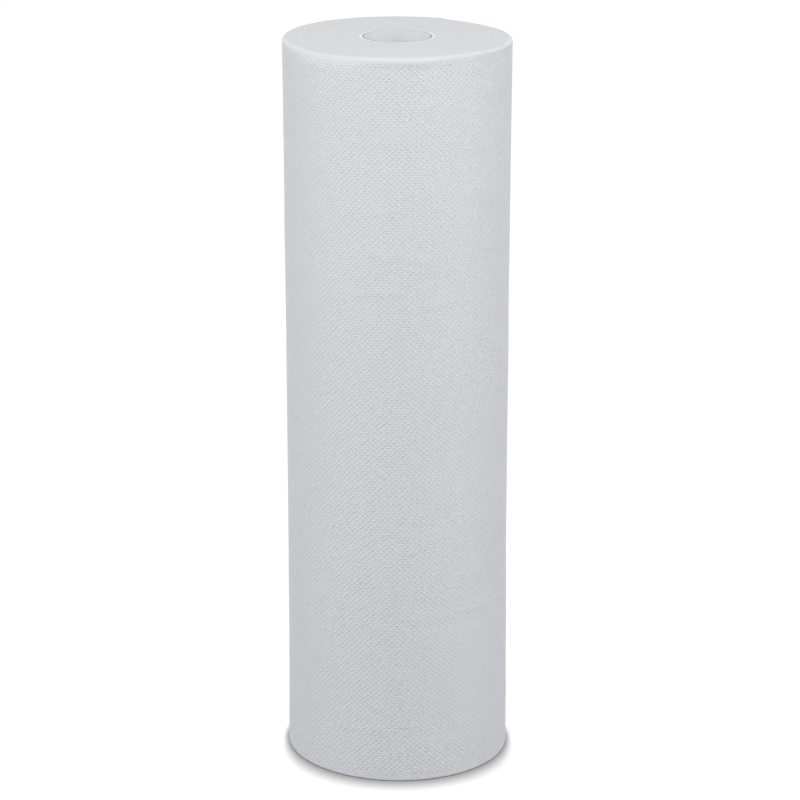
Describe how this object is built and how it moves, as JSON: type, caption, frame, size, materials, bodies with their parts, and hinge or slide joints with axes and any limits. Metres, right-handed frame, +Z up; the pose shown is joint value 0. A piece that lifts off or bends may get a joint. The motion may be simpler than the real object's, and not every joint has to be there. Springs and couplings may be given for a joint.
{
  "type": "exam table paper roll",
  "caption": "Wide roll of embossed two-ply tissue wound tight on a thin board core, sawn flat at both ends, for covering an examination table.",
  "frame": {"origin": "centre of the end that the roll stands on", "axes": "+Z up along the roll's axis; +Y points to the back, where the paper's free edge is"},
  "size_m": [0.1525, 0.155, 0.5],
  "materials": {
    "tissue": "matt, finely embossed",
    "core_board": "matt, pale liner with a darker sawn edge"
  },
  "bodies": {
    "root": {"paper_roll": "tissue", "core_tube": "core_board"}
  },
  "joints": []
}
